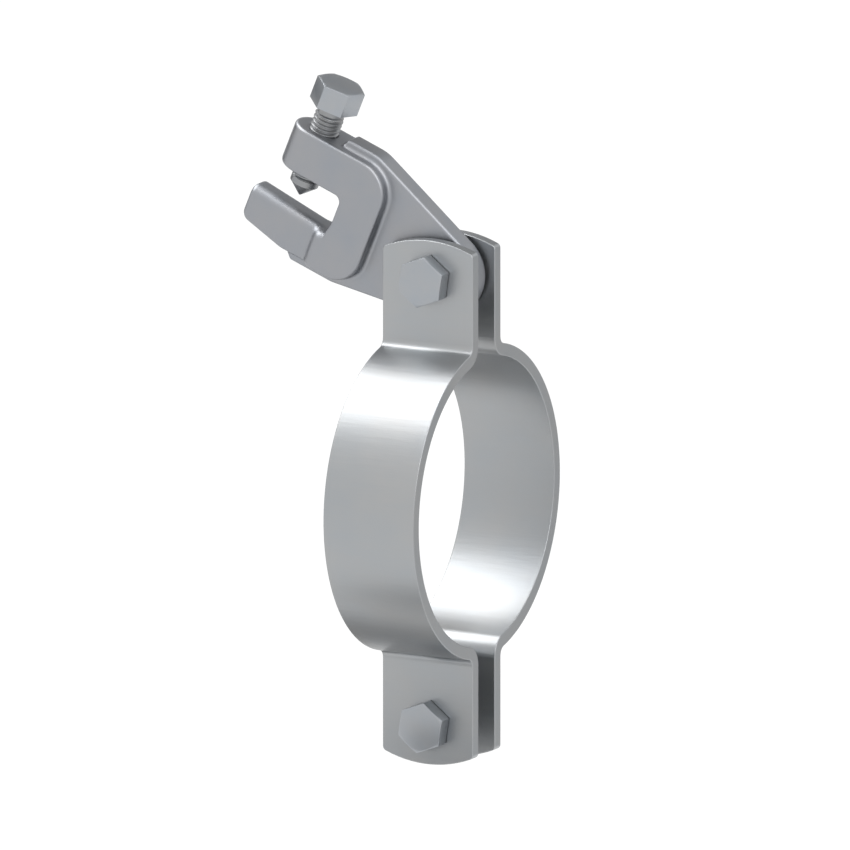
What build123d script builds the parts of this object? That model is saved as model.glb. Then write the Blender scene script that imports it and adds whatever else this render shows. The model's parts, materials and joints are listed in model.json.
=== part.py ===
from build123d import *
from math import acos, atan2, cos, radians, sin, sqrt, tan
import os

# The ring's axis is X, the clamp bolts lie along Y and the beam jaw opens towards -X.
# Lengths are in millimetres and angles in degrees.

# Ring and ears, bent from flat strap
ring_bore = 116.0
strap_width = 40.0
strap_thickness = 5.0
ear_gap = 14.0
ear_bend_radius = 3.5
ring_to_bolt = 27.0
bolt_to_ear_end = 15.8
ear_end_rise = 4.2
ear_corner_radius = 2.0
strap_edge_chamfer = 0.2

# Fasteners
thread_diameter = 12.0
hex_across_flats = 18.0
hex_chamfer_share = 0.93
hex_chamfer_angle = 30.0
clamp_hex_turn = 21.5
bolt_head_height = 7.0
nut_height = 10.8
thread_past_nut = 10.2
bolt_end_chamfer = 1.2
ear_hole_clearance = 0.5
eye_clearance = 0.1
nut_clearance = 0.08
nut_countersink = 0.7

# Cast jaw, measured from the pivot bolt's axis along and across the jaw
jaw_tilt = 22.0
frame_thickness = 20.0
web_thickness = 9.5
pivot_to_spine = 30.3
spine_width = 17.4
jaw_roof = 11.3
jaw_height = 16.6
upper_arm_depth = 17.9
pivot_to_screw = 68.2
screw_to_upper_tip = 11.9
upper_tip_radius = 4.0
outer_corner_radius = 13.5
inner_corner_radius = 3.0
lower_corner_radius = 12.0
spine_flare = 1.7
spine_flare_rise = 4.9
spine_flare_drop = 2.7
spine_flare_radius = 3.5
anvil_width = 12.6
anvil_slope = 3.6
anvil_tip_depth = 14.7
anvil_root_depth = 16.3
screw_to_anvil_tip = 17.8
anvil_underside_run = 20.0
anvil_chin_radius = 4.0
anvil_crown_radius = 4.2
anvil_edge_radius = 1.8
ramp_hollow_radius = 3.0
ramp_crown_radius = 5.0
rib_rise = 3.4
rib_drop = 2.6
rib_start = 12.8
rib_end_bend = 41.1
rib_bend_radius = 18.0
eye_radius = 17.2
frame_edge_radius = 1.2
web_edge_chamfer = 0.6
web_foot_radius = 1.5
frame_seam_inset = 0.2
tip_overrun = 0.3

# Set screw
screw_head_across_flats = 17.6
screw_head_height = 10.0
screw_hex_turn = 16.0
screw_length = 40.0
screw_head_lift = 11.05
screw_clearance = 0.06
screw_point_radius = 0.4

# Sizes that follow from the ones above
ring_inner_radius = ring_bore / 2
ring_outer_radius = ring_inner_radius + strap_thickness
bolt_reach = ring_outer_radius + ring_to_bolt
ear_end = bolt_reach + bolt_to_ear_end
ear_face = ear_gap / 2 + strap_thickness
thread_radius = thread_diameter / 2
frame_top = jaw_roof + upper_arm_depth
anvil_top = jaw_roof - jaw_height
spine_back = -pivot_to_spine
spine_front = spine_back - spine_width
screw_place = -pivot_to_screw
upper_tip = screw_place - screw_to_upper_tip
anvil_tip = screw_place - screw_to_anvil_tip
anvil_rise = (spine_front - anvil_tip) * tan(radians(anvil_slope))
frame_bottom = anvil_top - anvil_root_depth

# A length that passes right through any piece, and the distance below which points coincide
right_through = 300.0
same_place = 0.001


def polygon(corners):
    """A flat face from (x, y, corner radius) triples, in the plane of the sketch."""
    points = [(x, y) for x, y, _ in corners]
    return make_face(FilletPolyline(*points, radius=[r for _, _, r in corners], close=True))


def upright_plate(outline, thickness):
    """A plate with its outline in the XZ plane and its thickness split about Y = 0."""
    return extrude(Plane.XZ * outline, amount=thickness / 2, both=True)


# Pipe ring

def strap_edge(ring_radius, ear_distance, bend_radius):
    """One edge of the bent strap, from the top ear's end round the ring to the bottom ear's end."""
    bend_reach = ring_outer_radius + ear_bend_radius
    bend_side = ear_face + ear_bend_radius
    bend_height = sqrt(bend_reach**2 - bend_side**2)
    meet = (-bend_side * ring_radius / bend_reach, bend_height * ring_radius / bend_reach)
    ear_foot = (-ear_distance, bend_height)
    upper_ear = Line((-ear_distance, ear_end), ear_foot)
    upper_bend = TangentArc(ear_foot, meet, tangent=(0, -1))
    ring = ThreePointArc(meet, (-ring_radius, 0), (meet[0], -meet[1]))
    lower_bend = TangentArc((-ear_distance, -bend_height), (meet[0], -meet[1]), tangent=(0, 1))
    lower_ear = Line((-ear_distance, -bend_height), (-ear_distance, -ear_end))
    return upper_ear + upper_bend + ring + lower_bend + lower_ear


def flat_blank():
    """The strap as seen along the bolts: straight sides and bowed ends with soft corners."""
    half = strap_width / 2
    shoulder = ear_end - ear_end_rise
    sides = Line((-half, -shoulder), (-half, shoulder)) + Line((half, shoulder), (half, -shoulder))
    ends = ThreePointArc((-half, shoulder), (0, ear_end), (half, shoulder)) + ThreePointArc(
        (half, -shoulder), (0, -ear_end), (-half, -shoulder)
    )
    outline = make_face(sides + ends)
    return fillet(outline.vertices(), ear_corner_radius)


def half_band():
    """One half of the ring with its two ears, on the -Y side."""
    hollow_side = strap_edge(ring_outer_radius, ear_face, ear_bend_radius)
    inner_side = strap_edge(ring_inner_radius, ear_gap / 2, ear_bend_radius + strap_thickness)
    caps = Line((-ear_face, ear_end), (-ear_gap / 2, ear_end)) + Line(
        (-ear_face, -ear_end), (-ear_gap / 2, -ear_end)
    )
    section = make_face(hollow_side + inner_side + caps)
    band = extrude(Plane.YZ * section, amount=strap_width / 2, both=True)
    band &= upright_plate(flat_blank(), right_through)
    band = chamfer(band.edges(), strap_edge_chamfer)
    hole = Rot(90, 0, 0) * Cylinder(thread_radius + ear_hole_clearance, right_through)
    return band - Pos(0, 0, bolt_reach) * hole - Pos(0, 0, -bolt_reach) * hole


# Fasteners

def chamfered_hex(across_flats, height):
    """A hexagon prism standing on Z = 0 with its corners cut back at the top."""
    flat = across_flats / 2
    corner = flat / cos(radians(30))
    rim = flat * hex_chamfer_share
    drop = (corner - rim) * tan(radians(hex_chamfer_angle))
    envelope = make_face(
        Polyline((0, 0), (corner, 0), (corner, height - drop), (rim, height), (0, height), close=True)
    )
    prism = extrude(RegularPolygon(corner, 6), amount=height)
    return prism & revolve(Plane.XZ * envelope, Axis.Z)


def clamp_bolt(height):
    """A bolt along Y with its head on the front ear."""
    grip = 2 * ear_face
    length = grip + nut_height + thread_past_nut
    shank = Cylinder(thread_radius, length, align=(Align.CENTER, Align.CENTER, Align.MIN))
    shank = chamfer(shank.faces().sort_by(Axis.Z)[-1].edges(), bolt_end_chamfer)
    head = Rot(180, 0, 0) * chamfered_hex(hex_across_flats, bolt_head_height)
    bolt = Rot(0, 0, -clamp_hex_turn) * head + shank
    return Pos(0, -ear_face, height) * Rot(-90, 0, 0) * bolt


def clamp_nut(height):
    """A nut on the rear ear, bored to the bolt's thread with a running clearance."""
    nut = chamfered_hex(hex_across_flats, nut_height)
    nut -= Cylinder(thread_radius + nut_clearance, right_through)
    bore_rims = nut.edges().filter_by(GeomType.CIRCLE).sort_by(SortBy.RADIUS)[:2]
    nut = chamfer(bore_rims, nut_countersink)
    return Pos(0, ear_face, height) * Rot(-90, 0, 0) * Rot(0, 0, -clamp_hex_turn) * nut


# Beam jaw

def to_pivot(part):
    """Moves a part from the jaw's own frame, tilted, to the upper bolt's axis."""
    return Pos(0, 0, bolt_reach) * Rot(0, jaw_tilt, 0) * part


def edges_at(part, distance):
    """The edges of a plate that lie on its two flanks."""
    return part.edges().filter_by(lambda edge: abs(abs(edge.center().Y) - distance) < same_place)


def raised_frame():
    """The thick C: upper arm with a half-round tip, spine and the block behind the lower arm."""
    flare = spine_front - spine_flare
    outline = polygon([
        (upper_tip - tip_overrun, frame_top, 0),
        (spine_back, frame_top, outer_corner_radius),
        (spine_back, frame_bottom, lower_corner_radius),
        (flare, frame_bottom, 0),
        (flare, anvil_top - spine_flare_drop, spine_flare_radius),
        (spine_front, anvil_top + spine_flare_rise, spine_flare_radius),
        (spine_front, jaw_roof, inner_corner_radius),
        (upper_tip - tip_overrun, jaw_roof, upper_tip_radius),
    ])
    block = upright_plate(outline, frame_thickness)
    plan = SlotOverall(2 * (spine_back - upper_tip), frame_thickness)
    return block & Pos(spine_back, 0, 0) * extrude(plan, amount=right_through, both=True)


def lower_arm_plan(root, wall):
    """The lower arm seen from above: a neck that runs out into the frame's flanks by an S-shaped ramp."""
    neck = anvil_width / 2
    flank = frame_thickness / 2
    turn = acos(1 - (flank - neck) / (ramp_hollow_radius + ramp_crown_radius))
    foot = (wall - (ramp_hollow_radius + ramp_crown_radius) * sin(turn), neck)
    middle = (foot[0] + ramp_hollow_radius * sin(turn), neck + ramp_hollow_radius * (1 - cos(turn)))
    side = Line((anvil_tip, neck), foot) + TangentArc(foot, middle, tangent=(1, 0))
    side += TangentArc(middle, (wall, flank), tangent=(cos(turn), sin(turn)))
    side += Line((wall, flank), (root, flank))
    ends = Line((anvil_tip, -neck), (anvil_tip, neck)) + Line((root, -flank), (root, flank))
    return make_face(side + mirror(side, Plane.XZ) + ends)


def lower_arm():
    """The narrow anvil arm: crowned on top, with softer edges round its tip and along its underside."""
    root = spine_front + 2 * frame_edge_radius
    tip_top = anvil_top + anvil_rise
    outline = polygon([
        (anvil_tip, tip_top, 0),
        (root, anvil_top, 0),
        (root, frame_bottom, 0),
        (anvil_tip + anvil_underside_run, frame_bottom, anvil_width),
        (anvil_tip, tip_top - anvil_tip_depth, anvil_chin_radius),
    ])
    arm = upright_plate(outline, frame_thickness)
    arm &= extrude(lower_arm_plan(root, spine_front - spine_flare), amount=right_through, both=True)
    top = arm.faces().sort_by(Axis.Z)[-1]
    arm = fillet(top.edges().filter_by(Axis.Y, reverse=True), anvil_crown_radius)
    tip = arm.faces().sort_by(Axis.X)[0]
    return fillet(tip.edges().filter_by(Axis.Y, reverse=True), anvil_edge_radius)


def tangent_point(point, radius, side):
    """Where the line from a point touches a circle about the origin, on the side named by +1 or -1."""
    x, y = point
    angle = atan2(y, x) + side * acos(radius / sqrt(x * x + y * y))
    return (radius * cos(angle), radius * sin(angle))


def web_outline():
    """The middle plate: a rib over the upper arm, the tang with its eye, and a rib under the lower arm."""
    rib_top = frame_top + rib_rise
    rib_bottom = frame_bottom - rib_drop
    upper_bend = (-rib_end_bend, rib_top)
    lower_bend = (-rib_end_bend, rib_bottom)
    start = screw_place + rib_start
    lower_start = start - 2 * rib_drop
    core = (spine_back + spine_front) / 2
    plate = polygon([
        (start - rib_rise, frame_top - rib_rise, 0),
        (start, rib_top, web_foot_radius),
        (*upper_bend, rib_bend_radius),
        (*tangent_point(upper_bend, eye_radius, -1), 0),
        (0, 0, 0),
        (*tangent_point(lower_bend, eye_radius, 1), 0),
        (*lower_bend, rib_bend_radius / 2),
        (lower_start, rib_bottom, web_foot_radius),
        (lower_start - 2 * rib_drop, frame_bottom + rib_drop, 0),
        (core, frame_bottom + rib_drop, 0),
        (core, frame_top - rib_rise, 0),
    ])
    return plate + Circle(eye_radius)


def beam_clamp_body():
    """The casting: raised frame, lower arm and web in one piece, with its screw and pivot holes."""
    frame = raised_frame()
    web = upright_plate(web_outline(), web_thickness)
    web = chamfer(edges_at(web, web_thickness / 2), web_edge_chamfer)
    body = frame + web
    body = fillet(new_edges(frame, web, combined=body), web_foot_radius)
    body = fillet(edges_at(body, frame_thickness / 2), frame_edge_radius)
    body += lower_arm()
    screw_hole = Cylinder(
        thread_radius + screw_clearance, right_through, align=(Align.CENTER, Align.CENTER, Align.MIN)
    )
    body -= Pos(screw_place, 0, jaw_roof - frame_edge_radius) * screw_hole
    body -= Rot(90, 0, 0) * Cylinder(thread_radius + eye_clearance, right_through)
    return to_pivot(body)


def set_screw():
    """The hexagon-head screw with a pointed end that grips the beam's flange."""
    head = chamfered_hex(screw_head_across_flats, screw_head_height)
    head = Rot(0, 0, screw_hex_turn) * head
    shank = Pos(0, 0, -screw_length) * Cylinder(
        thread_radius, screw_length, align=(Align.CENTER, Align.CENTER, Align.MIN)
    )
    point = thread_radius - screw_point_radius
    shank = chamfer(shank.faces().sort_by(Axis.Z)[0].edges(), point)
    return to_pivot(Pos(screw_place, 0, frame_top + screw_head_lift) * (head + shank))


def save(name, part):
    """Writes one sub-part to its STEP file."""
    export_step(part, f"parts/{name}.step")


os.makedirs("parts", exist_ok=True)
front = half_band()
save("front_half_band", front)
save("rear_half_band", mirror(front, Plane.XZ))
save("pivot_bolt", clamp_bolt(bolt_reach))
save("pivot_nut", clamp_nut(bolt_reach))
save("lower_bolt", clamp_bolt(-bolt_reach))
save("lower_nut", clamp_nut(-bolt_reach))
save("beam_clamp_body", beam_clamp_body())
save("set_screw", set_screw())
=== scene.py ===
"""A beam c-clamp with its pipe ring: plated finishes, threaded fasteners and a soft studio."""
import json
import logging
import math
from dataclasses import dataclass
from enum import Enum

import bmesh
import bpy
from mathutils import Matrix, Vector


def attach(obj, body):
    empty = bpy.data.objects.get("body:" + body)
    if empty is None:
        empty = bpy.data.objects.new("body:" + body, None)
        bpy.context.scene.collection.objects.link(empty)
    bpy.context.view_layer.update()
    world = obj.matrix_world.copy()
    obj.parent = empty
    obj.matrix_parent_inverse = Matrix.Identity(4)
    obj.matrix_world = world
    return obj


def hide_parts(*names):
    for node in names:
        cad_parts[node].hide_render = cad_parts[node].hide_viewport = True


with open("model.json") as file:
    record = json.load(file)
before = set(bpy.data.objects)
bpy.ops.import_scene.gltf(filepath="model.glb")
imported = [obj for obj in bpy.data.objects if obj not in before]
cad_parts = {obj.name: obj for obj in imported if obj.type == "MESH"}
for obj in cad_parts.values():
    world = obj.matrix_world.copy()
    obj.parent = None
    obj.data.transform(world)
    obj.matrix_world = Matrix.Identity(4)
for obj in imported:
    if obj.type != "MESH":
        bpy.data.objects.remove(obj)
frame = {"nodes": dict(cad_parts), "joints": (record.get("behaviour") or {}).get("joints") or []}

log = logging.getLogger("beam_clamp")

MM = 0.001


class Body(Enum):
    """The rigid bodies that the new pieces ride on."""

    JAW_SCREW = "jaw_screw"
    FRONT_HALF = "front_half"


# Shader nodes

Input = bpy.types.NodeSocket | float | tuple[float, ...]


class NodeMaker:
    """Lays out the nodes of one node tree."""

    def __init__(self, tree: bpy.types.NodeTree) -> None:
        """Starts on a tree."""
        self.tree = tree

    def feed(self, node: bpy.types.Node, inputs: dict[str | int, Input]) -> None:
        """Fills a node's inputs.

        Args:
            node: the node.
            inputs: a value or another node's socket for each input.
        """
        for key, value in inputs.items():
            if isinstance(value, bpy.types.NodeSocket):
                self.tree.links.new(value, node.inputs[key])
            else:
                node.inputs[key].default_value = value

    def node(self, kind: str, inputs: dict[str | int, Input], **settings: object) -> bpy.types.Node:
        """Adds a node.

        Args:
            kind: the node's type, without its ShaderNode prefix.
            inputs: a value or another node's socket for each input.
            settings: attributes of the node.

        Returns:
            The new node.
        """
        made = self.tree.nodes.new(f"ShaderNode{kind}")
        for key, value in settings.items():
            setattr(made, key, value)
        self.feed(made, inputs)
        return made

    def maths(self, operation: str, *terms: bpy.types.NodeSocket | float) -> bpy.types.NodeSocket:
        """Adds a Math node.

        Args:
            operation: what the node works out.
            terms: its inputs, as sockets or numbers.

        Returns:
            The node's output.
        """
        return self.node("Math", dict(enumerate(terms)), operation=operation).outputs[0]

    def place(self) -> bpy.types.NodeSocket:
        """The place on the object, in metres."""
        return self.node("TexCoord", {}).outputs["Object"]


class GroupMaker(NodeMaker):
    """Lays out the nodes of one shared node group."""

    def __init__(self, name: str) -> None:
        """Starts an empty group.

        Args:
            name: the group's name.
        """
        super().__init__(bpy.data.node_groups.new(name, "ShaderNodeTree"))
        self.given = self.tree.nodes.new("NodeGroupInput").outputs
        self.result = self.tree.nodes.new("NodeGroupOutput")

    def sockets(self, way: str, kind: str, *names: str) -> None:
        """Adds named sockets.

        Args:
            way: INPUT or OUTPUT.
            kind: Float, Color or Vector.
            names: the sockets' names.
        """
        for name in names:
            self.tree.interface.new_socket(name, in_out=way, socket_type=f"NodeSocket{kind}")


class MaterialMaker(NodeMaker):
    """Lays out the nodes of one new material."""

    def __init__(self, name: str) -> None:
        """Starts a material that has its usual shader.

        Args:
            name: the material's name.
        """
        self.made = bpy.data.materials.new(name)
        self.made.use_nodes = True
        super().__init__(self.made.node_tree)
        self.shader = self.tree.nodes["Principled BSDF"]


NOISE_MIDDLE = 0.5
GRAIN_ROUGHNESS = 0.55
CRYSTAL_DETAIL = 3.0
STREAK_DETAIL = 4.0
CLOUD_DETAIL = 2.0
GRAIN_IN_TINT = 0.35
CLOUDS_IN_GLOSS = 0.6


def zinc_surface_group() -> bpy.types.NodeTree:
    """The surface of electroplated zinc: fine crystals, soft clouds and drawn or rolled streaks.

    Returns:
        A group with Tint, Gloss and Height outputs, each centred on zero.
    """
    group = GroupMaker("zinc_surface")
    group.sockets("INPUT", "Float", "Crystal Size", "Cloud Size", "Streak Share")
    group.sockets("INPUT", "Vector", "Streaked")
    group.sockets("OUTPUT", "Float", "Tint", "Gloss", "Height")

    def noise(
        where: bpy.types.NodeSocket, detail: float, scale: bpy.types.NodeSocket | float
    ) -> bpy.types.NodeSocket:
        """A noise about zero.

        Args:
            where: the place to read it at.
            detail: how many finer layers it has.
            scale: its lumps per metre.

        Returns:
            Its value.
        """
        inputs = {"Vector": where, "Detail": detail, "Scale": scale, "Roughness": GRAIN_ROUGHNESS}
        made = group.node("TexNoise", inputs, noise_dimensions="3D")
        return group.maths("SUBTRACT", made.outputs["Fac"], NOISE_MIDDLE)

    place = group.place()
    crystals, clouds = (
        noise(place, detail, group.maths("DIVIDE", 1.0, group.given[size]))
        for size, detail in (("Crystal Size", CRYSTAL_DETAIL), ("Cloud Size", CLOUD_DETAIL))
    )
    streaks = noise(group.given["Streaked"], STREAK_DETAIL, 1.0)
    share = group.given["Streak Share"]
    grain = group.maths(
        "ADD",
        group.maths("MULTIPLY", streaks, share),
        group.maths("MULTIPLY", crystals, group.maths("SUBTRACT", 1.0, share)),
    )
    tint = group.maths("ADD", group.maths("MULTIPLY", grain, GRAIN_IN_TINT), clouds)
    gloss = group.maths("ADD", grain, group.maths("MULTIPLY", clouds, CLOUDS_IN_GLOSS))
    group.feed(group.result, {"Tint": tint, "Gloss": gloss, "Height": grain})
    return group.tree


WEAR_REACH = 0.6 * MM
WEAR_PATCH_SIZE = 3.0 * MM
WEAR_PATCH_DETAIL = 2.0
WEAR_GAIN = 6.0
WEAR_SAMPLES = 6


def edge_wear_group() -> bpy.types.NodeTree:
    """Where an edge has been rubbed brighter, in patches.

    Returns:
        A group that puts out a mask, 1 on an edge and 0 on open faces.
    """
    group = GroupMaker("edge_wear")
    group.sockets("OUTPUT", "Float", "Worn")
    softened = group.node("Bevel", {"Radius": WEAR_REACH}, samples=WEAR_SAMPLES)
    faced = group.node("NewGeometry", {})
    along = group.node(
        "VectorMath",
        {0: softened.outputs["Normal"], 1: faced.outputs["Normal"]},
        operation="DOT_PRODUCT",
    )
    turned = group.maths("SUBTRACT", 1.0, along.outputs["Value"])
    patches = group.node(
        "TexNoise",
        {"Vector": group.place(), "Detail": WEAR_PATCH_DETAIL, "Scale": 1 / WEAR_PATCH_SIZE},
        noise_dimensions="3D",
    )
    gain = group.maths("MULTIPLY", patches.outputs["Fac"], WEAR_GAIN)
    worn = group.maths("MINIMUM", group.maths("MULTIPLY", turned, gain), 1.0)
    group.feed(group.result, {"Worn": worn})
    return group.tree


EDGE_SAMPLES = 8


@dataclass(frozen=True)
class ZincFinish:
    """A zinc-plated metal surface.

    Attributes:
        name: the material's name.
        colour: its linear base colour.
        roughness: how far it blurs what it mirrors.
        edge_gain: how much brighter a rubbed edge is.
        edge_radius: how far its edges are rounded off, in metres.
        crystal_size: the grain of the plating, in metres.
        cloud_size: the size of its lighter and darker clouds, in metres.
        tint_range: how far grain and clouds change the colour.
        gloss_range: how far they change the roughness.
        relief: the height of the grain, in metres.
        cool_range: how much bluer its darker clouds are than its lighter ones.
        streak_share: how much of the grain is drawn out into streaks.
        streak_scale: lumps per metre of the streaks along X, Y and Z.
    """

    name: str
    colour: tuple[float, float, float]
    roughness: float
    edge_gain: float
    edge_radius: float
    crystal_size: float
    cloud_size: float
    tint_range: float
    gloss_range: float
    relief: float
    cool_range: float = 0.04
    streak_share: float = 0.0
    streak_scale: tuple[float, float, float] = (1.0, 1.0, 1.0)

    def shade(self, way: int) -> tuple[float, float, float, float]:
        """The colour of its darkest clouds (way -1) or its lightest (way 1)."""
        red, green, blue = (part * (1 + way * self.tint_range) for part in self.colour)
        return (red * (1 + way * self.cool_range), green, blue * (1 - way * self.cool_range), 1)

    def material(self, groups: dict[str, bpy.types.NodeTree]) -> bpy.types.Material:
        """Builds the finish.

        Args:
            groups: the shared node groups by name.

        Returns:
            The material.
        """
        metal = MaterialMaker(self.name)
        drawn = metal.node("Mapping", {"Vector": metal.place(), "Scale": self.streak_scale})
        surface = metal.node(
            "Group",
            {
                "Crystal Size": self.crystal_size,
                "Cloud Size": self.cloud_size,
                "Streak Share": self.streak_share,
                "Streaked": drawn.outputs["Vector"],
            },
            node_tree=groups["zinc_surface"],
        ).outputs
        wear = metal.node("Group", {}, node_tree=groups["edge_wear"])

        def spread(value: bpy.types.NodeSocket, low: float, high: float) -> bpy.types.NodeSocket:
            """Spreads a noise about zero over a range of numbers.

            Args:
                value: the noise.
                low: the number for its lowest value.
                high: the number for its highest value.

            Returns:
                The number.
            """
            ends = {"From Min": -NOISE_MIDDLE, "From Max": NOISE_MIDDLE}
            inputs = {"Value": value, **ends, "To Min": low, "To Max": high}
            return metal.node("MapRange", inputs).outputs["Result"]

        clouds = spread(surface["Tint"], 0.0, 1.0)
        shades = {"A": self.shade(-1), "B": self.shade(1), "Factor": clouds}
        shaded = metal.node("Mix", shades, data_type="RGBA")
        bright = (*(part * (1 + self.edge_gain) for part in self.colour), 1)
        rubbing = {"A": shaded.outputs["Result"], "B": bright, "Factor": wear.outputs["Worn"]}
        rubbed = metal.node("Mix", rubbing, data_type="RGBA")
        matt, glossy = self.roughness + self.gloss_range, self.roughness - self.gloss_range
        rounded = metal.node("Bevel", {"Radius": self.edge_radius}, samples=EDGE_SAMPLES)
        bumps = {"Distance": self.relief, "Height": surface["Height"]}
        bump = metal.node("Bump", {"Normal": rounded.outputs["Normal"], **bumps})
        metal.feed(
            metal.shader,
            {
                "Metallic": 1.0,
                "Base Color": rubbed.outputs["Result"],
                "Roughness": spread(surface["Gloss"], glossy, matt),
                "Normal": bump.outputs["Normal"],
            },
        )
        return metal.made


CAST_ZINC = ZincFinish(
    name="cast_zinc",
    colour=(0.327, 0.338, 0.36),
    roughness=0.42,
    edge_gain=0.05,
    edge_radius=1.5 * MM,
    crystal_size=0.9 * MM,
    cloud_size=14 * MM,
    tint_range=0.05,
    gloss_range=0.04,
    relief=0.02 * MM,
)
ROLLED_ZINC = ZincFinish(
    name="rolled_zinc",
    colour=(0.382, 0.394, 0.404),
    roughness=0.38,
    edge_gain=0.02,
    edge_radius=0.35 * MM,
    crystal_size=0.5 * MM,
    cloud_size=25 * MM,
    tint_range=0.04,
    gloss_range=0.05,
    relief=0.05 * MM,
    streak_share=0.9,
    streak_scale=(50, 520, 520),
)
BRIGHT_ZINC = ZincFinish(
    name="bright_zinc",
    colour=(0.372, 0.392, 0.416),
    roughness=0.38,
    edge_gain=0.05,
    edge_radius=0.1 * MM,
    crystal_size=0.4 * MM,
    cloud_size=8 * MM,
    tint_range=0.04,
    gloss_range=0.03,
    relief=0.006 * MM,
)
# Darker zinc for every fastener's shank below its head: painted shade for the shadow under the
# heads and under the casting.
PAINTED_SHADE_ZINC = ZincFinish(
    name="painted_shade_zinc",
    colour=(0.305, 0.312, 0.32),
    roughness=0.4,
    edge_gain=0.1,
    edge_radius=0.1 * MM,
    crystal_size=0.4 * MM,
    cloud_size=6 * MM,
    tint_range=0.08,
    gloss_range=0.04,
    relief=0.006 * MM,
)


# Fasteners

HEXAGON_SIDES = 6
ROUND_STEPS = 64
SHARP_TURN = math.radians(24)
BROKEN_TURN = math.radians(20)
FACING_UP = 0.99


def verts_in(geometry: list) -> list[bmesh.types.BMVert]:
    """The vertices among an operator's results."""
    return [part for part in geometry if isinstance(part, bmesh.types.BMVert)]


def close(bm: bmesh.types.BMesh) -> None:
    """Fills the open ends of a mesh and turns its faces outwards."""
    bmesh.ops.holes_fill(bm, edges=[e for e in bm.edges if e.is_boundary], sides=0)
    bmesh.ops.recalc_face_normals(bm, faces=bm.faces)


def smooth_by_angle(bm: bmesh.types.BMesh) -> None:
    """Shades faces smooth and keeps the edges sharp where they turn far."""
    for face in bm.faces:
        face.smooth = True
    for edge in bm.edges:
        edge.smooth = edge.is_manifold and edge.calc_face_angle(0.0) < SHARP_TURN


def object_from(bm: bmesh.types.BMesh, name: str) -> bpy.types.Object:
    """Puts a mesh into the scene.

    Args:
        bm: the mesh, which is used up.
        name: the object's name.

    Returns:
        The new object, with its origin at the frame's.
    """
    mesh = bpy.data.meshes.new(name)
    bm.to_mesh(mesh)
    bm.free()
    made = bpy.data.objects.new(name, mesh)
    bpy.context.scene.collection.objects.link(made)
    return made


def joined(meshes: list[bmesh.types.BMesh]) -> bmesh.types.BMesh:
    """Puts several meshes into one.

    Args:
        meshes: the meshes, which are used up.

    Returns:
        One mesh of all their faces.
    """
    whole = bmesh.new()
    for bm in meshes:
        part = bpy.data.meshes.new("part")
        bm.to_mesh(part)
        bm.free()
        whole.from_mesh(part)
        bpy.data.meshes.remove(part)
    return whole


@dataclass(frozen=True)
class HexHead:
    """A hexagon about Z with its corners cut back at the outer end.

    Attributes:
        across_flats: the distance between opposite sides.
        height: the height of its top over Z = 0.
        lift: the height of its foot over Z = 0.
        chamfer_share: how much of the distance to a side the flat top reaches.
        chamfer_angle: how steeply its corners are cut back.
        turn: how far it is turned about Z.
        steps_per_side: the number of points along a side.
        edge_break: how far its sharp edges are broken.
    """

    across_flats: float
    height: float
    lift: float = 0.0
    chamfer_share: float = 0.93
    chamfer_angle: float = math.radians(30)
    turn: float = 0.0
    steps_per_side: int = 14
    edge_break: float = 0.06 * MM

    @property
    def rim(self) -> float:
        """The radius of the flat top."""
        return self.across_flats / 2 * self.chamfer_share

    def reach(self, angle: float) -> float:
        """The distance from the axis to a side in a direction."""
        side = math.tau / HEXAGON_SIDES
        return self.across_flats / 2 / math.cos((angle % side) - side / 2)

    def build(self) -> bmesh.types.BMesh:
        """Models the head.

        Returns:
            A closed mesh whose sides' top edges are the arcs that the chamfer leaves.
        """
        bm = bmesh.new()
        bmesh.ops.create_circle(bm, segments=HEXAGON_SIDES * self.steps_per_side, radius=1.0)
        foot = list(bm.edges)
        for vert in bm.verts:
            angle = math.atan2(vert.co.y, vert.co.x)
            vert.co = self.reach(angle) * Vector((math.cos(angle), math.sin(angle), 0))
            vert.co.z = self.lift
        top = bmesh.ops.extrude_edge_only(bm, edges=foot)["geom"]
        for vert in verts_in(top):
            over = math.hypot(vert.co.x, vert.co.y) - self.rim
            vert.co.z = self.height - max(over, 0.0) * math.tan(self.chamfer_angle)
        arcs = [part for part in top if isinstance(part, bmesh.types.BMEdge)]
        for vert in verts_in(bmesh.ops.extrude_edge_only(bm, edges=arcs)["geom"]):
            angle = math.atan2(vert.co.y, vert.co.x)
            vert.co = (self.rim * math.cos(angle), self.rim * math.sin(angle), self.height)
        close(bm)
        self.soften(bm)
        bmesh.ops.rotate(bm, verts=bm.verts, matrix=Matrix.Rotation(self.turn, 3, "Z"))
        return bm

    def soften(self, bm: bmesh.types.BMesh) -> None:
        """Breaks the sharp edges between sides, chamfer and top."""
        bmesh.ops.bevel(
            bm,
            geom=[edge for edge in bm.edges if edge.calc_face_angle(0.0) > BROKEN_TURN],
            offset=self.edge_break,
            segments=2,
            profile=0.5,
            affect="EDGES",
            clamp_overlap=True,
            material=-1,
        )


@dataclass(frozen=True)
class Cone:
    """A cone about Z that narrows towards one height.

    Attributes:
        end: the height of its narrow end.
        end_radius: its radius there.
        slope: how much wider it gets for each metre from there.
    """

    end: float
    end_radius: float
    slope: float = 1.0

    def radius_at(self, height: float) -> float:
        """The cone's radius at a height."""
        return self.end_radius + abs(height - self.end) * self.slope


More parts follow.
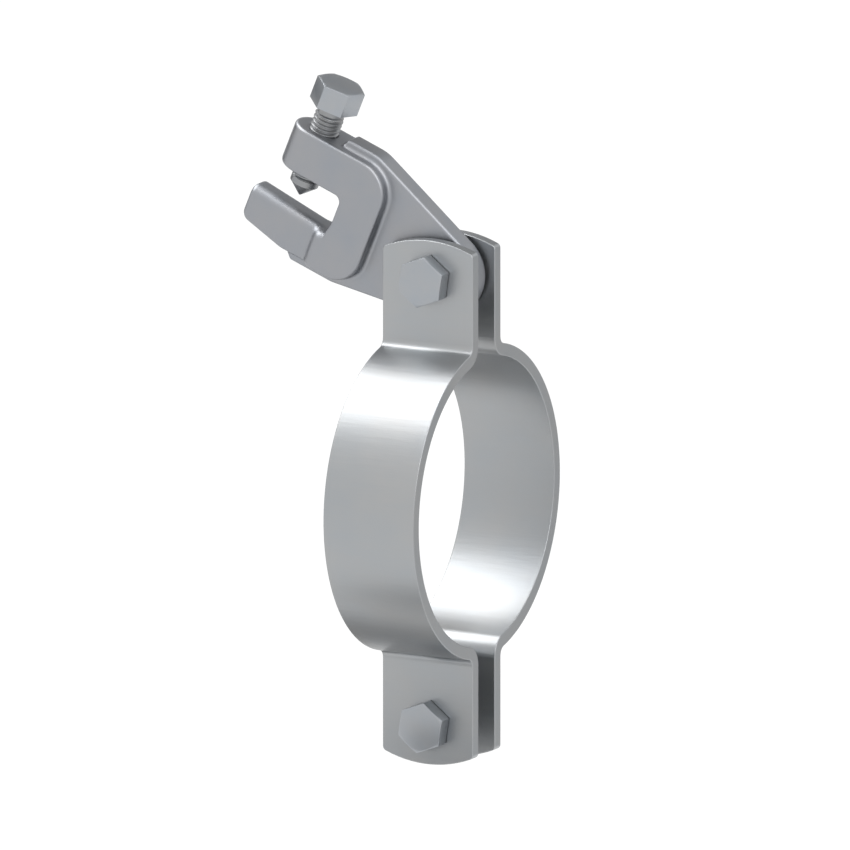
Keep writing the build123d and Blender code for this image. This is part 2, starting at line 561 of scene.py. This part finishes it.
@dataclass(frozen=True)
class Thread:
    """A metric thread's outside, as a right-hand helix about Z.

    Attributes:
        diameter: the diameter over its crests.
        pitch: the distance from crest to crest.
        depth_share: its depth as a share of the pitch.
        crest_share: the width of its flat crest as a share of the pitch.
        root_share: the width of its flat root as a share of the pitch.
        steps_per_turn: the number of points in a turn.
        seam_share: how near two turns' points lie that become one, as a share of the pitch.
        limit_share: the same for points that a limit has brought together.
    """

    diameter: float
    pitch: float
    depth_share: float = 0.48
    crest_share: float = 0.16
    root_share: float = 0.24
    steps_per_turn: int = 48
    seam_share: float = 1 / 100
    limit_share: float = 1 / 400

    def profile(self) -> list[tuple[float, float]]:
        """One pitch of the thread's section.

        Returns:
            (radius, height) from the middle of one root to the middle of the next.
        """
        crest = self.diameter / 2
        root = crest - self.depth_share * self.pitch
        half_root = self.root_share / 2
        half_crest = self.crest_share / 2
        shares = (0.0, half_root, 0.5 - half_crest, 0.5 + half_crest, 1 - half_root, 1.0)
        radii = (root, root, crest, crest, root, root)
        return [(radius, share * self.pitch) for radius, share in zip(radii, shares)]

    def build(self, low: float, high: float, *limits: Cone) -> bmesh.types.BMesh:
        """Models the threaded length.

        Args:
            low: the height of its lower end.
            high: the height of its upper end.
            limits: cones that it stays within, for points, chamfers and run-outs.

        Returns:
            A closed mesh.
        """
        bm = bmesh.new()
        # One turn more at each end, which the planes cut off.
        turns = math.ceil((high - low) / self.pitch) + 2
        start = low - self.pitch
        points = [bm.verts.new((radius, 0, start + height)) for radius, height in self.profile()]
        edges = [bm.edges.new(pair) for pair in zip(points, points[1:])]
        bmesh.ops.spin(
            bm,
            geom=points + edges,
            axis=(0, 0, 1),
            cent=(0, 0, 0),
            dvec=(0, 0, self.pitch / self.steps_per_turn),
            angle=math.tau * turns,
            steps=self.steps_per_turn * turns,
            use_merge=False,
            use_duplicate=False,
        )
        bmesh.ops.remove_doubles(bm, verts=bm.verts, dist=self.pitch * self.seam_share)
        for height, way in ((low, -1), (high, 1)):
            everything = bm.verts[:] + bm.edges[:] + bm.faces[:]
            bmesh.ops.bisect_plane(
                bm, geom=everything, plane_co=(0, 0, height), plane_no=(0, 0, way), clear_outer=True
            )
        for vert in bm.verts:
            radius = math.hypot(vert.co.x, vert.co.y)
            shrink = min(1.0, *(limit.radius_at(vert.co.z) / radius for limit in limits))
            vert.co.x *= shrink
            vert.co.y *= shrink
        bmesh.ops.remove_doubles(bm, verts=bm.verts, dist=self.pitch * self.limit_share)
        close(bm)
        return bm


def round_bar(radius: float, low: float, high: float) -> bmesh.types.BMesh:
    """Models a plain round length about Z.

    Args:
        radius: its radius.
        low: the height of its lower end.
        high: the height of its upper end.

    Returns:
        A closed mesh.
    """
    bm = bmesh.new()
    bmesh.ops.create_circle(bm, segments=ROUND_STEPS, radius=radius)
    bmesh.ops.translate(bm, verts=bm.verts, vec=(0, 0, low))
    wall = bmesh.ops.extrude_edge_only(bm, edges=bm.edges[:])["geom"]
    bmesh.ops.translate(bm, verts=verts_in(wall), vec=(0, 0, high - low))
    close(bm)
    return bm


def round_point(end: Cone, base_radius: float, lead: float) -> bmesh.types.BMesh:
    """Models a plain point about Z that widens to a radius and then runs on straight.

    Args:
        end: the cone that it follows.
        base_radius: the radius of its wide end.
        lead: the straight length.

    Returns:
        A closed mesh.
    """
    height = (base_radius - end.end_radius) / end.slope
    bm = bmesh.new()
    bmesh.ops.create_cone(
        bm,
        cap_ends=True,
        segments=ROUND_STEPS,
        radius1=end.end_radius,
        radius2=base_radius,
        depth=height,
    )
    bmesh.ops.translate(bm, verts=bm.verts, vec=(0, 0, end.end + height / 2))
    base = [face for face in bm.faces if face.normal.z > FACING_UP]
    grown = bmesh.ops.extrude_face_region(bm, geom=base)["geom"]
    bmesh.ops.translate(bm, verts=verts_in(grown), vec=(0, 0, lead))
    bmesh.ops.delete(bm, geom=base, context="FACES_ONLY")
    bmesh.ops.recalc_face_normals(bm, faces=bm.faces)
    return bm


@dataclass(frozen=True)
class FastenerFinish:
    """What a fastener is dressed in.

    Attributes:
        head: the material of all that stands over Z = 0 in its own frame.
        shank: the material of all below, darker as painted shade under the head and the casting.
    """

    head: bpy.types.Material
    shank: bpy.types.Material

    def dress(self, made: bpy.types.Object) -> None:
        """Gives a fastener its two materials."""
        for finish in (self.head, self.shank):
            made.data.materials.append(finish)


def fastener_piece(
    meshes: list[bmesh.types.BMesh],
    name: str,
    place: Matrix,
    body: Body,
    node: str,
    finish: FastenerFinish,
) -> bpy.types.Object:
    """Makes the piece that stands for a fastener's node.

    Args:
        meshes: its meshes in the fastener's own frame, which are used up.
        name: the piece's name.
        place: where the fastener's frame lies in the object's.
        body: the body that it rides on.
        node: the node that it replaces.
        finish: its materials.

    Returns:
        The new object.
    """
    bm = joined(meshes)
    for face in bm.faces:
        face.material_index = int(face.calc_center_median().z < 0)
    smooth_by_angle(bm)
    bmesh.ops.transform(bm, matrix=place, verts=bm.verts)
    made = object_from(bm, name)
    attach(made, body.value)
    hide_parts(node)
    finish.dress(made)
    return made


@dataclass(frozen=True)
class JawPlace:
    """Where the tilted jaw stands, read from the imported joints.

    Attributes:
        pivot: the point that the ring swings about.
        up: the direction of the set screw's axis.
    """

    pivot: Vector
    up: Vector

    @classmethod
    def from_joints(cls, joints: list[dict]) -> "JawPlace":
        """Reads the swivel's pivot and the screw's axis.

        Args:
            joints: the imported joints.

        Returns:
            The jaw's place.
        """
        named = {joint["name"]: joint for joint in joints}
        up = Vector(named["screw_travel"]["axis"]).normalized()
        return cls(pivot=Vector(named["ring_swivel"]["pos_m"]), up=up)

    def frame_at(self, along: float, across: float) -> Matrix:
        """A frame in the jaw: its Z is the screw's axis and its Y the clamp bolts'.

        Args:
            along: the distance from the pivot, away from the mouth.
            across: the distance up the screw's axis.

        Returns:
            The frame as a matrix.
        """
        side = Vector((0, 1, 0))
        forward = side.cross(self.up)
        place = Matrix((forward, side, self.up)).transposed().to_4x4()
        place.translation = self.pivot + along * forward + across * self.up
        return place


M12 = Thread(diameter=12 * MM, pitch=1.75 * MM)


@dataclass
class JawScrew:
    """The set screw with its pointed end.

    Attributes:
        place: where the jaw stands.
        finish: its materials.
        from_pivot: the distance of its axis from the ring's pivot.
        under_head: the height of its head's underside over the pivot.
        length: from under the head to the point's end.
        point_radius: the radius of the point's end.
        point_base: the radius of the point's wide end.
        point_lead: the plain length over the point.
        neck_radius: the radius of the plain neck under the head.
        neck_length: the neck's length.
        run_out_slope: how fast the thread fades into neck and point.
        sink: how far its meshes reach into each other.
        head: its hexagon.
    """

    place: JawPlace
    finish: FastenerFinish
    from_pivot: float = 68.2 * MM
    under_head: float = 40.25 * MM
    length: float = 40 * MM
    point_radius: float = 0.4 * MM
    point_base: float = 5.85 * MM
    point_lead: float = 2.4 * MM
    neck_radius: float = 5.45 * MM
    neck_length: float = 2.4 * MM
    run_out_slope: float = 0.5
    sink: float = 0.3 * MM
    head: HexHead = HexHead(
        across_flats=17.6 * MM,
        height=10 * MM,
        chamfer_angle=math.radians(14),
        turn=math.radians(16),
    )

    def build(self) -> bpy.types.Object:
        """Models and dresses the screw.

        Returns:
            The piece that replaces the set_screw node.
        """
        point = round_point(Cone(-self.length, self.point_radius), self.point_base, self.point_lead)
        point_top = max(vert.co.z for vert in point.verts)
        start = Cone(point_top - self.sink, self.point_base - self.sink, self.run_out_slope)
        run_out = Cone(-self.neck_length, self.neck_radius - self.sink, self.run_out_slope)
        thread = M12.build(start.end, run_out.end, start, run_out)
        neck = round_bar(self.neck_radius, -self.neck_length - self.sink, self.sink)
        return fastener_piece(
            [self.head.build(), neck, thread, point],
            "jaw_screw",
            self.place.frame_at(-self.from_pivot, self.under_head),
            Body.JAW_SCREW,
            "set_screw",
            self.finish,
        )


@dataclass
class ClampBolt:
    """One of the two bolts that close the ring.

    Attributes:
        node: the node that it replaces.
        height: the height of its axis over the ring's centre.
        finish: its materials.
        ear_face: how far the front ears' outer face stands from the middle plane.
        length: from under the head to its end.
        end_chamfer: how far its end is cut back.
        collar_radius: the radius of the round collar under the head.
        sink: how far its meshes reach into each other.
        head: its hexagon.
    """

    node: str
    height: float
    finish: FastenerFinish
    ear_face: float = 12 * MM
    length: float = 45 * MM
    end_chamfer: float = 1.2 * MM
    collar_radius: float = 7.6 * MM
    sink: float = 0.3 * MM
    head: HexHead = HexHead(
        across_flats=18 * MM,
        height=7 * MM,
        lift=0.35 * MM,
        chamfer_share=0.965,
        chamfer_angle=math.radians(16),
        turn=math.radians(21.5),
    )

    def build(self) -> bpy.types.Object:
        """Models and dresses the bolt.

        Returns:
            The piece that replaces the bolt's node.
        """
        end = Cone(-self.length, M12.diameter / 2 - self.end_chamfer)
        thread = M12.build(-self.length, self.sink, end)
        collar = round_bar(self.collar_radius, -self.sink, self.head.lift + self.sink)
        lying = Matrix.Rotation(math.radians(90), 4, "X")
        return fastener_piece(
            [self.head.build(), collar, thread],
            f"{self.node}_threaded",
            Matrix.Translation((0, -self.ear_face, self.height)) @ lying,
            Body.FRONT_HALF,
            self.node,
            self.finish,
        )


# Sub-assemblies


def dress_node(node: str, finish: bpy.types.Material) -> None:
    """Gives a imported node, which keeps its shape, its finish."""
    mesh = frame["nodes"][node].data
    mesh.materials.clear()
    mesh.materials.append(finish)


@dataclass
class PipeRing:
    """The two bent half bands, the bolts that join them and the nuts.

    Attributes:
        strap: the bands' material.
        fastener: the bolts' and nuts' materials.
        bolt_reach: the distance of the bolts from the ring's centre.
    """

    strap: bpy.types.Material
    fastener: FastenerFinish
    bolt_reach: float = 90 * MM

    def build(self) -> list[str]:
        """Dresses the bands and nuts and models the bolts.

        Returns:
            The names of the ring's pieces.
        """
        dressed = {
            "front_half_band": self.strap,
            "rear_half_band": self.strap,
            "pivot_nut": self.fastener.head,
            "lower_nut": self.fastener.head,
        }
        for node, finish in dressed.items():
            dress_node(node, finish)
        heights = {"pivot_bolt": self.bolt_reach, "lower_bolt": -self.bolt_reach}
        bolts = [ClampBolt(node, height, self.fastener).build() for node, height in heights.items()]
        return [*dressed, *(bolt.name for bolt in bolts)]


@dataclass
class BeamJaw:
    """The casting with its set screw.

    Attributes:
        casting: the casting's material.
        fastener: the screw's materials.
    """

    casting: bpy.types.Material
    fastener: FastenerFinish

    def build(self) -> list[str]:
        """Dresses the casting and models the screw.

        Returns:
            The names of the jaw's pieces.
        """
        dress_node("beam_clamp_body", self.casting)
        screw = JawScrew(JawPlace.from_joints(frame["joints"]), self.fastener).build()
        return ["beam_clamp_body", screw.name]


# Studio


def staged(name: str, bm: bmesh.types.BMesh, material: bpy.types.Material) -> bpy.types.Object:
    """Puts up something that stands round the object.

    Args:
        name: its name.
        bm: its mesh, which is used up.
        material: its material.

    Returns:
        The new object.
    """
    made = object_from(bm, name)
    made.data.materials.append(material)
    return made


def direction(azimuth: float, elevation: float) -> Vector:
    """The direction at an azimuth from the front and an elevation, both in radians."""
    flat = math.cos(elevation)
    return Vector((math.sin(azimuth) * flat, -math.cos(azimuth) * flat, math.sin(elevation)))


@dataclass(frozen=True)
class Softbox:
    """A flat soft lamp that points at the object.

    Attributes:
        name: its name.
        azimuth: where it stands, in degrees from the front, positive to the right.
        elevation: how high it stands, in degrees.
        turn: how far it is turned about the direction that it points in, in degrees.
        size: its width and height in metres.
        power: its power in watts.
        distance: how far off it stands, in metres.
    """

    name: str
    azimuth: float
    elevation: float
    turn: float
    size: tuple[float, float]
    power: float
    distance: float = 1.0

    def build(self) -> None:
        """Puts the lamp up."""
        lamp = bpy.data.lights.new(self.name, "AREA")
        lamp.shape = "RECTANGLE"
        lamp.size, lamp.size_y = self.size
        lamp.energy = self.power
        made = bpy.data.objects.new(self.name, lamp)
        away = direction(math.radians(self.azimuth), math.radians(self.elevation))
        made.location = self.distance * away
        made.rotation_euler = (-away).to_track_quat("-Z", "Y").to_euler()
        made.rotation_euler.rotate_axis("Z", math.radians(self.turn))
        bpy.context.scene.collection.objects.link(made)


@dataclass(frozen=True)
class Card:
    """A curved grey card round the object, which only the metal's mirror sees.

    Attributes:
        name: its name.
        level: how bright it looks.
        azimuth: its ends in degrees from the front, positive to the right.
        elevation: its lower and upper edge in degrees.
        distance: how far off it stands, in metres.
        columns: its number of faces from end to end.
        rows: its number of faces from edge to edge.
    """

    name: str
    level: float
    azimuth: tuple[float, float]
    elevation: tuple[float, float]
    distance: float = 1.5
    columns: int = 24
    rows: int = 12

    def build(self) -> None:
        """Models the card and puts it up."""
        bm = bmesh.new()
        # The flat grid runs from -0.5 to 0.5 both ways.
        bmesh.ops.create_grid(bm, x_segments=self.columns, y_segments=self.rows, size=0.5)
        for vert in bm.verts:
            azimuth, elevation = (
                math.radians(low + (high - low) * (share + 0.5))
                for (low, high), share in zip((self.azimuth, self.elevation), vert.co)
            )
            vert.co = self.distance * direction(azimuth, elevation)
        grey = MaterialMaker(self.name)
        grey.tree.nodes.remove(grey.shader)
        light = grey.node("Emission", {"Strength": self.level})
        grey.feed(grey.tree.nodes["Material Output"], {"Surface": light.outputs["Emission"]})
        card = staged(self.name, bm, grey.made)
        card.visible_camera = False
        card.visible_diffuse = False
        card.visible_transmission = False


PICTURE_PIXELS = 850
PIXELS_PER_METRE = 2534


@dataclass
class Studio:
    """The floor, the soft lights and the camera at the photograph's angle.

    Attributes:
        azimuth: where the camera stands, from the front, positive to the right.
        elevation: how high it stands.
        picture_width: the width of what it sees.
        centre_right: how far right of the frame's origin the picture's centre lies.
        centre_up: how far up of it.
        camera_distance: how far off the camera stands.
        view_depth: how far it sees.
        floor_height: the floor's height.
        floor_size: the length of its sides.
        floor_colour: its linear colour.
        floor_roughness: how matt it is.
        floor_glow: how much brighter the camera and the metal see it.
        world_level: how bright the surrounding light is.
        lamps: the soft lamps.
        cards: the grey cards.
    """

    azimuth: float = math.radians(27.41)
    elevation: float = math.radians(12.41)
    picture_width: float = PICTURE_PIXELS / PIXELS_PER_METRE
    centre_right: float = -6.58 * MM
    centre_up: float = 28.26 * MM
    camera_distance: float = 1.0
    view_depth: float = 20.0
    floor_height: float = -1.8
    floor_size: float = 50.0
    floor_colour: tuple[float, float, float] = (0.8, 0.8, 0.8)
    floor_roughness: float = 0.9
    floor_glow: float = 0.25
    world_level: float = 1.0
    lamps: tuple[Softbox, ...] = (
        Softbox("left_softbox", -92, 58, turn=12, size=(0.9, 0.66), power=6.6),
        Softbox("right_softbox", 50, 46, turn=0, size=(0.58, 1.16), power=4.4),
    )
    cards: tuple[Card, ...] = (
        Card("back_card", 0.36, (172, 233), (17, 72)),
        Card("right_card", 0.62, (131, 172), (-20, 16)),
        Card("left_card", 0.05, (236, 263), (-4, 41)),
        Card("low_card", 0.32, (170, 268), (-85, -44)),
        # A dark sheet just under the object that only the metal sees: painted shade for the
        # object's shadow on the floor below.
        Card("painted_shadow_card", 0.48, (-32, 34), (-62, -43), distance=0.16),
    )

    def build(self) -> None:
        """Makes the floor, the world, the lamps, the cards and the camera."""
        self.floor()
        self.world()
        for thing in (*self.lamps, *self.cards):
            thing.build()
        self.camera()

    def floor(self) -> None:
        """A plain pale floor that the camera and the metal see as white, with its shadows kept."""
        bm = bmesh.new()
        bmesh.ops.create_grid(bm, x_segments=1, y_segments=1, size=self.floor_size / 2)
        bmesh.ops.translate(bm, verts=bm.verts, vec=(0, 0, self.floor_height))
        pale = MaterialMaker("pale_floor")
        rays = pale.node("LightPath", {}).outputs
        seen = pale.maths("MAXIMUM", rays["Is Camera Ray"], rays["Is Glossy Ray"])
        clear = pale.maths("MAXIMUM", seen, rays["Is Transmission Ray"])
        pale.feed(
            pale.shader,
            {
                "Base Color": (*self.floor_colour, 1),
                "Roughness": self.floor_roughness,
                "Specular IOR Level": 0.0,
                "Emission Color": (1, 1, 1, 1),
                "Emission Strength": pale.maths("MULTIPLY", clear, self.floor_glow),
            },
        )
        staged("floor", bm, pale.made)

    def world(self) -> None:
        """An even pale surrounding light."""
        world = bpy.data.worlds.new("studio")
        world.use_nodes = True
        background = world.node_tree.nodes["Background"]
        background.inputs["Color"].default_value = (1, 1, 1, 1)
        background.inputs["Strength"].default_value = self.world_level
        bpy.context.scene.world = world

    def camera(self) -> None:
        """A camera with parallel projection, aimed as in the photograph."""
        back = direction(self.azimuth, self.elevation)
        right = Vector((math.cos(self.azimuth), math.sin(self.azimuth), 0))
        up = back.cross(right)
        data = bpy.data.cameras.new("camera")
        data.type = "ORTHO"
        data.ortho_scale = self.picture_width
        data.clip_end = self.view_depth
        made = bpy.data.objects.new("camera", data)
        target = self.centre_right * right + self.centre_up * up
        made.location = target + self.camera_distance * back
        made.rotation_euler = (-back).to_track_quat("-Z", "Y").to_euler()
        bpy.context.scene.collection.objects.link(made)
        bpy.context.scene.camera = made


def main() -> None:
    """Builds the jaw, the ring and the studio in order."""
    logging.basicConfig(level=logging.INFO, format="%(message)s")
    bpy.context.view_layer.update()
    groups = {"zinc_surface": zinc_surface_group(), "edge_wear": edge_wear_group()}
    finishes = (CAST_ZINC, ROLLED_ZINC, BRIGHT_ZINC, PAINTED_SHADE_ZINC)
    # The shank finish is darker than the head's: painted shade under heads and casting.
    casting, strap, head, shank = (finish.material(groups) for finish in finishes)
    fastener = FastenerFinish(head, shank)
    for part in (BeamJaw(casting, fastener), PipeRing(strap, fastener)):
        for name in part.build():
            log.info("%s: %s", type(part).__name__, name)
    Studio().build()
    bpy.context.scene.view_settings.view_transform = "Standard"


if __name__ == "__main__":
    main()
